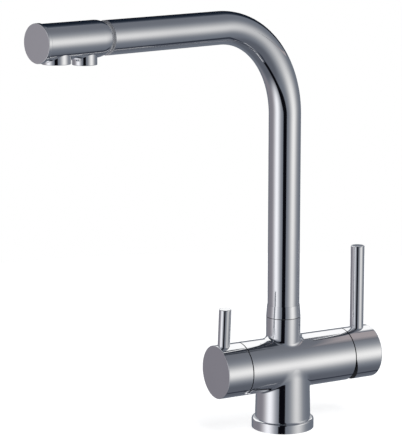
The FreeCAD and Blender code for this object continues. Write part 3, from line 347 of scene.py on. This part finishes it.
finishes = {
    "chrome": polished_chrome(),
    "brass": turned_metal(
        "turned_brass", dark=(0.60, 0.41, 0.16), light=(0.76, 0.56, 0.27), smooth=0.2, rough=0.36),
    "steel": turned_metal(
        "stainless_screw", dark=(0.42, 0.42, 0.43), light=(0.58, 0.58, 0.6),
        smooth=0.24, rough=0.4),
    "rubber": moulded(
        "black_rubber", dark=(0.018, 0.018, 0.02), light=(0.034, 0.033, 0.032),
        smooth=0.5, rough=0.72, grain=1500.0, depth=0.06 * MM),
    "ceramic": lapped_ceramic(),
    "plastic": moulded(
        "cartridge_plastic", dark=(0.70, 0.70, 0.67), light=(0.79, 0.79, 0.77),
        smooth=0.34, rough=0.5, grain=1200.0, depth=0.04 * MM, scatter=0.1),
    "nozzle_plastic": moulded(
        "soft_nozzle", dark=(0.46, 0.48, 0.51), light=(0.57, 0.59, 0.62),
        smooth=0.42, rough=0.6, grain=1400.0, depth=0.05 * MM, scatter=0.1),
    "slip_plastic": moulded(
        "slip_ring_plastic", dark=(0.05, 0.05, 0.055), light=(0.085, 0.085, 0.09),
        smooth=0.4, rough=0.56, grain=1500.0, depth=0.04 * MM),
    "hose": moulded(
        "water_tube", dark=(0.80, 0.81, 0.79), light=(0.88, 0.89, 0.87),
        smooth=0.28, rough=0.42, grain=700.0, depth=0.03 * MM, scatter=0.15),
}
groove_finish = satin_chrome()
for part in frame["record"]["subparts"]:
    piece = frame["nodes"][part["node"]]
    piece.data.materials.clear()
    piece.data.materials.append(finishes[part["material_slot"]])
for cad_node, finish in (("head_connector", groove_finish),
                         ("body_casting", polished_chrome("buffed_chrome", buffed_junction)),
                         ("head_shell", polished_chrome("drawn_chrome", drawn_shoulder))):
    frame["nodes"][cad_node].data.materials[0] = finish

# The mixer cap's rim where it opens towards the dome, painted dark as the shade that falls in that
# gap
cap = frame["nodes"]["mixer_cap"].data
cap.materials.append(moulded(
    "painted_shade_rim", dark=(0.012, 0.012, 0.014), light=(0.02, 0.02, 0.022),
    smooth=0.45, rough=0.6, grain=1500.0, depth=0.04 * MM))
for face in cap.polygons:
    if face.normal.x < CAP_RIM_FACING and face.center.x < CAP_RIM_END:
        face.material_index = 1


# Pieces made by node trees
def node_group(name, sockets):
    """An empty geometry tree with its geometry sockets, and inputs of these names and kinds."""
    tree = bpy.data.node_groups.new(name, "GeometryNodeTree")
    tree.is_modifier = True
    for way in ("OUTPUT", "INPUT"):
        tree.interface.new_socket("Geometry", in_out=way, socket_type="NodeSocketGeometry")
    for label, kind in sockets.items():
        tree.interface.new_socket(label, in_out="INPUT", socket_type=kind)
    return tree, tree.nodes.new("NodeGroupInput").outputs


def finish_tree(tree, geometry, finish):
    """End a tree with real geometry in its finish."""
    real = node(tree, "GeometryNodeRealizeInstances", {"Geometry": geometry})
    dressed = node(tree, "GeometryNodeSetMaterial", {
        "Geometry": real.outputs[0], "Material": finish})
    node(tree, "NodeGroupOutput", {0: dressed.outputs[0]})


def shaped_by(maker, tree, values):
    """Give an object a tree, with the tree's inputs set by their identifiers."""
    modifier = maker.modifiers.new(tree.name, "NODES")
    modifier.node_group = tree
    for socket in tree.interface.items_tree:
        if socket.item_type == "SOCKET" and socket.in_out == "INPUT" and socket.name in values:
            modifier[socket.identifier] = values[socket.name]


def plain_mesh(maker, name, sharp_angle):
    """Turn an object with its modifiers into a plain mesh object, smooth but for sharp edges."""
    bpy.context.view_layer.update()
    evaluated = maker.evaluated_get(bpy.context.evaluated_depsgraph_get())
    mesh = bpy.data.meshes.new_from_object(evaluated)
    mesh.name = name
    bpy.data.objects.remove(maker)
    for face in mesh.polygons:
        face.use_smooth = True
    mesh.set_sharp_from_angle(angle=math.radians(sharp_angle))
    return placed(name, mesh)


def stands_for(piece, body, cad_node):
    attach(piece, body)
    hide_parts(cad_node)


def bent_tube_tree():
    """A tube around a path of straight runs, with its corners bent."""
    tree, given = node_group("bent_tube", {
        "Tube Radius": "NodeSocketFloat", "Bend Radius": "NodeSocketFloat",
        "Bend Steps": "NodeSocketInt", "Sides": "NodeSocketInt", "Finish": "NodeSocketMaterial"})
    bend = node(tree, "GeometryNodeFilletCurve", {
        "Curve": given["Geometry"], "Radius": given["Bend Radius"],
        "Count": given["Bend Steps"]}, mode="POLY")
    ring = node(tree, "GeometryNodeCurvePrimitiveCircle", {
        "Resolution": given["Sides"], "Radius": given["Tube Radius"]})
    skin = node(tree, "GeometryNodeCurveToMesh", {
        "Curve": bend.outputs[0], "Profile Curve": ring.outputs[0]})
    finish_tree(tree, skin.outputs[0], given["Finish"])
    return tree


def spout_tube():
    """The spout's tube, drawn along its path and given its wall."""
    low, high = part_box("spout_tube")
    radius = high[0]
    along = arm_direction()
    cad_tube = frame["nodes"]["spout_tube"].data
    reach = max(along.dot(vertex.co) for vertex in cad_tube.vertices)
    elbow = Vector((0, 0, high[2] - radius))
    corners = (Vector((0, 0, low[2])), elbow, along * reach + elbow)
    route = bpy.data.curves.new("spout_route", "CURVE")
    route.dimensions = "3D"
    run = route.splines.new("POLY")
    run.points.add(len(corners) - 1)
    for point, corner in zip(run.points, corners):
        point.co = (*corner, 1)
    maker = placed("spout_route", route)
    shaped_by(maker, bent_tube_tree(), {
        "Tube Radius": radius, "Bend Radius": TUBE_BEND, "Bend Steps": BEND_STEPS,
        "Sides": TUBE_SIDES, "Finish": finishes["chrome"]})
    wall = maker.modifiers.new("wall", "SOLIDIFY")
    wall.thickness = TUBE_WALL
    wall.offset = -1
    piece = plain_mesh(maker, "spout_bent_tube", TUBE_SHARP_ANGLE)
    piece.data.materials.append(groove_finish)
    for face in piece.data.polygons:
        at_end = face.center.dot(along) > reach - TUBE_WALL
        if at_end and face.normal.dot(along) > TUBE_END_FACING:
            face.material_index = 1
    stands_for(piece, "spout", "spout_tube")


def jet_tree():
    """A plate drilled with two rings of jets, each with a raised tip around it."""
    tree, given = node_group("jet_plate", {
        "Jets Per Ring": "NodeSocketInt", "Outer Ring": "NodeSocketFloat",
        "Inner Ring": "NodeSocketFloat", "Jet Radius": "NodeSocketFloat",
        "Tip Wall": "NodeSocketFloat", "Tip Height": "NodeSocketFloat",
        "Drill Length": "NodeSocketFloat", "Plate Centre": "NodeSocketVector",
        "Finish": "NodeSocketMaterial"})
    rings = node(tree, "GeometryNodeJoinGeometry")
    for label in ("Outer Ring", "Inner Ring"):
        ring = node(tree, "GeometryNodeMeshCircle", {
            "Vertices": given["Jets Per Ring"], "Radius": given[label]})
        tree.links.new(ring.outputs[0], rings.inputs[0])
    spots = node(tree, "GeometryNodeTransform", {
        "Geometry": rings.outputs[0], "Translation": given["Plate Centre"]})
    drill = node(tree, "GeometryNodeMeshCylinder", {
        "Vertices": JET_SIDES, "Radius": given["Jet Radius"], "Depth": given["Drill Length"]})
    drills = node(tree, "GeometryNodeInstanceOnPoints", {
        "Points": spots.outputs[0], "Instance": drill.outputs[0]})
    holes = node(tree, "GeometryNodeRealizeInstances", {"Geometry": drills.outputs[0]})
    plate = node(tree, "GeometryNodeMeshBoolean", {
        "Mesh 1": given["Geometry"], "Mesh 2": holes.outputs[0]},
        operation="DIFFERENCE", solver="EXACT")
    half_wall = number_of(tree, "MULTIPLY", given["Tip Wall"], 0.5)
    tip_path = node(tree, "GeometryNodeCurvePrimitiveCircle", {
        "Resolution": JET_SIDES,
        "Radius": number_of(tree, "ADD", given["Jet Radius"], half_wall)})
    tip_section = node(tree, "GeometryNodeCurvePrimitiveQuadrilateral", {
        "Width": given["Tip Wall"], "Height": given["Tip Height"]})
    tip = node(tree, "GeometryNodeCurveToMesh", {
        "Curve": tip_path.outputs[0], "Profile Curve": tip_section.outputs[0]})
    tips = node(tree, "GeometryNodeInstanceOnPoints", {
        "Points": spots.outputs[0], "Instance": tip.outputs[0]})
    whole = node(tree, "GeometryNodeJoinGeometry", {0: plate.outputs[0]})
    tree.links.new(tips.outputs[0], whole.inputs[0])
    finish_tree(tree, whole.outputs[0], given["Finish"])
    return tree


def turned_mesh(name, outline, centre, sides):
    """A closed outline of radius and height, turned about an upright axis."""
    form = bmesh.new()
    rows = []
    turns = [math.tau * side / sides for side in range(sides)]
    for radius, height in outline:
        if radius == 0:
            rows.append([form.verts.new((centre.x, centre.y, height))] * sides)
            continue
        row = []
        for turn in turns:
            x = centre.x + radius * math.cos(turn)
            y = centre.y + radius * math.sin(turn)
            row.append(form.verts.new((x, y, height)))
        rows.append(row)
    for first, second in zip(rows, rows[1:] + rows[:1]):
        for side in range(sides):
            after = (side + 1) % sides
            corners = dict.fromkeys((first[side], first[after], second[after], second[side]))
            if len(corners) > 2:
                form.faces.new(corners)
    bmesh.ops.recalc_face_normals(form, faces=form.faces)
    mesh = bpy.data.meshes.new(name)
    form.to_mesh(mesh)
    form.free()
    return mesh


def flow_insert(outlet, tree):
    """A soft insert that stands in an outlet ring, with two rings of jets."""
    cad_node = f"{outlet}_flow_insert"
    low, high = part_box(cad_node)
    centre = middle(cad_node)
    body = (high[0] - low[0]) / 2
    nose = body - OUTLET_LIP
    ring_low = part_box(f"{outlet}_outlet_ring")[0][2]
    shoulder = ring_low + OUTLET_LIP_HEIGHT
    floor_top = shoulder + OUTLET_LIP_HEIGHT
    outline = [
        (0, low[2]), (nose - INSERT_ROUNDING, low[2]), (nose, low[2] + INSERT_ROUNDING),
        (nose, shoulder), (body - INSERT_ROUNDING, shoulder), (body, shoulder + INSERT_ROUNDING),
        (body, high[2]), (body - OUTLET_WALL, high[2]), (body - OUTLET_WALL, floor_top),
        (0, floor_top)]
    maker = placed(cad_node, turned_mesh(cad_node, outline, centre, INSERT_SIDES))
    # Each tip is set half into the plate, so its section is twice as high as what stands out
    shaped_by(maker, tree, {
        "Jets Per Ring": JETS_PER_RING, "Outer Ring": nose * OUTER_JETS,
        "Inner Ring": nose * INNER_JETS, "Jet Radius": JET_RADIUS, "Tip Wall": JET_TIP_WALL,
        "Tip Height": JET_TIP_HEIGHT * 2, "Drill Length": (floor_top - low[2]) * DRILL_OVERRUN,
        "Plate Centre": (centre.x, centre.y, low[2]), "Finish": finishes["nozzle_plastic"]})
    piece = plain_mesh(maker, f"{outlet}_jet_insert", INSERT_SHARP_ANGLE)
    stands_for(piece, "spout", cad_node)


spout_tube()
jet_plate = jet_tree()
flow_insert("mains", jet_plate)
flow_insert("filter", jet_plate)

# Light tent in metres and degrees, where a span is its start, its end and its soft edge
TENT_RADIUS = 4.0
TENT_HEIGHT = 0.2
UNDERFOOT, OVERHEAD = -200, 200
ALL_ROUND = (-200, 200, 1)
CLOTH = (0.152, 0.169, 0.203)
UPPER_CLOTH = (0.15, 0.16, 0.185)

# Two soft boxes of the tent, each a glow about its middle
LEFT_BOX_AZIMUTH = CAMERA_AZIMUTH - 58
LEFT_BOX_LIGHT = (0.80, 0.785, 0.79)
LEFT_BOX_HALF_WIDTH = 19
LEFT_BOX_RISE = (-42, 30, 40)
RIGHT_BOX_AZIMUTH = CAMERA_AZIMUTH + 66
RIGHT_BOX_LIGHT = (0.755, 0.73, 0.685)
RIGHT_BOX_INNER_HALF_WIDTH = 23
RIGHT_BOX_OUTER_HALF_WIDTH = 27
RIGHT_BOX_HALF_HEIGHT = 20
RIGHT_BOX_ELEVATION = -6
RIGHT_BOX_SLANT = 0.4
RIGHT_BOX_SLANT_FROM = -10
RIGHT_BOX_SLANT_LIMIT = 40

# Dark stripe at the camera, which leans aside and narrows below
STRIPE_SHADE = (0.003, 0.003, 0.005)
STRIPE_HALF_WIDTH = 12.5
STRIPE_NARROWING = 5
STRIPE_NARROW_RISE = (UNDERFOOT, -35, 30)
STRIPE_RISE = (UNDERFOOT, 40, 10)
STRIPE_SOFT = 3
STRIPE_LEAN = 0.68
STRIPE_LEAN_BELOW = -11

# Dark table edge low on the right, and the dark below the foot
EDGE_SHADE = (0.03, 0.035, 0.05)
EDGE_AZIMUTH = 88
EDGE_ELEVATION = -45
EDGE_LEAN = 0.87
EDGE_SPAN = (-3.5, 3.5, 2)
EDGE_RISE = (UNDERFOOT, -38, 10)
FOOT_RISE = (UNDERFOOT, -80, 5)

# Patches of cloth, laid on in turn before and after the soft boxes' glow
SKYLIGHT_AZIMUTH = 150
Patch = namedtuple("Patch", "shade azimuth turn rise")
CLOTH_PATCHES = (
    Patch((0.22, 0.212, 0.24), azimuth=-140, turn=(-35, 35, 20), rise=(-40, 8, 16)),
    Patch(UPPER_CLOTH, azimuth=0, turn=ALL_ROUND, rise=(45, OVERHEAD, 30)),
    Patch((0.03, 0.035, 0.045), LEFT_BOX_AZIMUTH, turn=(-70, 90, 40), rise=(40, OVERHEAD, 20)),
    Patch((0.105, 0.115, 0.14), azimuth=0, turn=ALL_ROUND, rise=(UNDERFOOT, -46, 20)),
)
SKYLIGHT_PATCHES = (
    Patch((0.015, 0.02, 0.026), SKYLIGHT_AZIMUTH, turn=(-68, -28, 8), rise=(58.6, 76, 1.5)),
    Patch((1.04, 1.04, 1.04), SKYLIGHT_AZIMUTH, turn=(-28, 60, 12), rise=(14.5, 70, 10)),
)

# Dark card behind the arm and pale card over the mixer end, in metres
FLAG_BEHIND = 0.055
FLAG_ENDS = (-0.25, 0.246)
FLAG_SHADES = (
    (-0.016, (0.004, 0.006, 0.012)), (0.10, (0.012, 0.018, 0.03)), (0.17, (0.05, 0.06, 0.08)),
    (0.26, (0.12, 0.135, 0.165)), (0.32, UPPER_CLOTH))
PALE_SHADE = (0.37, 0.335, 0.345)
PALE_HEIGHT = 0.335
PALE_ACROSS = (0.192, 0.219, 0.30)
PALE_BACK = (-0.149, -0.058, 0.066)

# Floor, room and lamp
FLOOR_RADIUS = 0.7
FLOOR_PAINT = 0.5
FLOOR_GLOW = 0.75
ROOM_LIGHT = 0.6
LAMP_ASIDE = 35
LAMP_ELEVATION = 60
LAMP_DISTANCE = 1.8
LAMP_SIZE = 1.4
LAMP_POWER = 22


# Studio
def bump_shape(offset, half_width):
    """One at the middle, a half at the half width, and falling off smoothly."""
    return math.exp(-math.log(2) * (offset / half_width) ** 2)


def plateau(value, low, high, soft):
    """One between two angles, and fading out over a soft edge."""
    rise = min(max((value - low) / soft + 0.5, 0), 1)
    fall = min(max((high - value) / soft + 0.5, 0), 1)
    step = min(rise, fall)
    return step * step * (3 - 2 * step)


def turn_from(azimuth, start):
    """How far an azimuth is turned from another, from -180 to 180 degrees."""
    return (azimuth - start + 180) % 360 - 180


def laid_on(colour, patches, azimuth, elevation):
    """The colour in one direction once these patches lie over it."""
    for patch in patches:
        turn = plateau(turn_from(azimuth, patch.azimuth), *patch.turn)
        colour = colour.lerp(Vector(patch.shade), turn * plateau(elevation, *patch.rise))
    return colour


def tent_light(azimuth, elevation):
    """How bright and what shade the tent's cloth is in one direction."""
    colour = laid_on(Vector(CLOTH), CLOTH_PATCHES, azimuth, elevation)

    left = turn_from(azimuth, LEFT_BOX_AZIMUTH)
    left_glow = Vector(LEFT_BOX_LIGHT) * bump_shape(left, LEFT_BOX_HALF_WIDTH)
    colour += left_glow * plateau(elevation, *LEFT_BOX_RISE)

    right = turn_from(azimuth, RIGHT_BOX_AZIMUTH)
    slanted = max(min(right - RIGHT_BOX_SLANT_FROM, RIGHT_BOX_SLANT_LIMIT), -RIGHT_BOX_SLANT_LIMIT)
    right_middle = RIGHT_BOX_ELEVATION + RIGHT_BOX_SLANT * slanted
    half_width = RIGHT_BOX_INNER_HALF_WIDTH if right < 0 else RIGHT_BOX_OUTER_HALF_WIDTH
    right_box = bump_shape(right, half_width)
    right_box *= bump_shape(elevation - right_middle, RIGHT_BOX_HALF_HEIGHT)
    colour += Vector(RIGHT_BOX_LIGHT) * right_box

    colour = laid_on(colour, SKYLIGHT_PATCHES, azimuth, elevation)

    squeeze = math.cos(math.radians(elevation))
    stripe_azimuth = CAMERA_AZIMUTH - STRIPE_LEAN * max(0, STRIPE_LEAN_BELOW - elevation)
    stripe = STRIPE_HALF_WIDTH - STRIPE_NARROWING * plateau(elevation, *STRIPE_NARROW_RISE)
    across = plateau(turn_from(azimuth, stripe_azimuth) * squeeze, -stripe, stripe, STRIPE_SOFT)
    colour = colour.lerp(Vector(STRIPE_SHADE), across * plateau(elevation, *STRIPE_RISE))

    edge_azimuth = EDGE_AZIMUTH - EDGE_LEAN * (elevation - EDGE_ELEVATION)
    across = plateau(turn_from(azimuth, edge_azimuth) * squeeze, *EDGE_SPAN)
    colour = colour.lerp(Vector(EDGE_SHADE), across * plateau(elevation, *EDGE_RISE))
    return colour.lerp(Vector(EDGE_SHADE), plateau(elevation, *FOOT_RISE))


def studio_piece(name, form, material):
    """Put a shape in the scene with its material."""
    mesh = bpy.data.meshes.new(name)
    form.to_mesh(mesh)
    form.free()
    mesh.materials.append(material)
    piece = placed(name, mesh)
    return piece


def glowing_cloth(name):
    material, tree = blank_material(name)
    colour = node(tree, "ShaderNodeAttribute", attribute_name="glow")
    surface(tree, node(tree, "ShaderNodeEmission", {
        "Color": colour.outputs["Color"], "Strength": 1.0}))
    return material


def tent():
    form = bmesh.new()
    glow = form.verts.layers.float_color.new("glow")
    bmesh.ops.create_uvsphere(form, u_segments=360, v_segments=180, radius=TENT_RADIUS)
    for vertex in form.verts:
        way = vertex.co.normalized()
        azimuth = math.degrees(math.atan2(way.x, -way.y))
        elevation = math.degrees(math.asin(max(-1, min(1, way.z))))
        vertex[glow] = (*tent_light(azimuth, elevation), 1)
    dome = studio_piece("light_tent", form, glowing_cloth("light_tent_cloth"))
    dome.location = (0, 0, TENT_HEIGHT)
    dome.visible_camera = False
    dome.visible_shadow = False


def card(name, rows):
    """A card of rows of corners, each with its shade, which only the polished metal sees."""
    form = bmesh.new()
    glow = form.verts.layers.float_color.new("glow")
    made = []
    for row in rows:
        corners = []
        for place, colour in row:
            corner = form.verts.new(place)
            corner[glow] = (*colour, 1)
            corners.append(corner)
        made.append(corners)
    for first, second in zip(made, made[1:]):
        for at in range(len(first) - 1):
            form.faces.new((first[at], first[at + 1], second[at + 1], second[at]))
    piece = studio_piece(name, form, glowing_cloth(f"{name}_cloth"))
    piece.visible_camera = False
    piece.visible_diffuse = False
    piece.visible_shadow = False


def black_flag():
    """A dark card close behind the arm, pale towards its top."""
    along = arm_direction()
    behind = Vector((along.y, -along.x, 0)) * FLAG_BEHIND
    head_height = middle("head_end_cap").z
    rows = []
    for rise, shade in FLAG_SHADES:
        level = Vector((0, 0, head_height + rise))
        rows.append([(along * reach + behind + level, shade) for reach in FLAG_ENDS])
    card("black_flag", rows)


def pale_card():
    """A pale card over the mixer end, which fades into the tent at its left and front edges."""
    rows = []
    for x in PALE_ACROSS:
        row = []
        for y in PALE_BACK:
            at_edge = x == PALE_ACROSS[0] or y == PALE_BACK[0]
            row.append((Vector((x, y, PALE_HEIGHT)), UPPER_CLOTH if at_edge else PALE_SHADE))
        rows.append(row)
    card("pale_card", rows)


def floor():
    form = bmesh.new()
    bmesh.ops.create_circle(form, cap_ends=True, segments=96, radius=FLOOR_RADIUS)
    material, tree = blank_material("pale_floor")
    paint = node(tree, "ShaderNodeBsdfDiffuse", {"Color": (*[FLOOR_PAINT] * 3, 1)})
    glow = node(tree, "ShaderNodeEmission", {"Color": (1, 1, 1, 1), "Strength": FLOOR_GLOW})
    surface(tree, node(tree, "ShaderNodeAddShader", {0: paint.outputs[0], 1: glow.outputs[0]}))
    plane = studio_piece("floor", form, material)
    plane.visible_glossy = False


def white_world():
    """A room that is white where it is seen, and dimmer as a light."""
    world = bpy.data.worlds.new("white_room")
    bpy.context.scene.world = world
    world.use_nodes = True
    tree = world.node_tree
    tree.nodes.clear()
    path = node(tree, "ShaderNodeLightPath").outputs
    seen = number_of(tree, "MAXIMUM", path["Is Camera Ray"], path["Is Glossy Ray"])
    shown = number_of(tree, "MAXIMUM", seen, path["Is Transmission Ray"])
    level = node(tree, "ShaderNodeMapRange", {
        "Value": shown, "To Min": ROOM_LIGHT, "To Max": 1.0})
    sky = node(tree, "ShaderNodeBackground", {
        "Color": (1, 1, 1, 1), "Strength": level.outputs["Result"]})
    node(tree, "ShaderNodeOutputWorld", {"Surface": sky.outputs[0]})


def aim(holder, direction):
    """Turn a lamp or camera to look along a direction."""
    holder.rotation_euler = direction.to_track_quat("-Z", "Y").to_euler()


def lamp():
    light = bpy.data.lights.new("overhead_softbox", "AREA")
    light.shape = "SQUARE"
    light.size = LAMP_SIZE
    light.energy = LAMP_POWER
    holder = placed("overhead_softbox", light)
    holder.location = pointing(CAMERA_AZIMUTH + LAMP_ASIDE, LAMP_ELEVATION) * LAMP_DISTANCE
    aim(holder, -holder.location)
    holder.visible_glossy = False
    holder.visible_camera = False


def photo_camera():
    camera = bpy.data.cameras.new("photo_camera")
    camera.sensor_width = SENSOR
    camera.lens = FOCAL_PIXELS * SENSOR / PHOTO_HEIGHT
    camera.clip_end = CAMERA_SIGHT
    holder = placed("photo_camera", camera)
    back = pointing(CAMERA_AZIMUTH, CAMERA_ELEVATION)
    aside = pointing(CAMERA_AZIMUTH + 90, 0)
    target = aside * CAMERA_ASIDE + Vector((0, 0, CAMERA_HEIGHT))
    holder.location = target + back * CAMERA_DISTANCE
    aim(holder, -back)
    bpy.context.scene.camera = holder


tent()
black_flag()
pale_card()
floor()
white_world()
lamp()
photo_camera()
bpy.context.scene.view_settings.view_transform = "Standard"
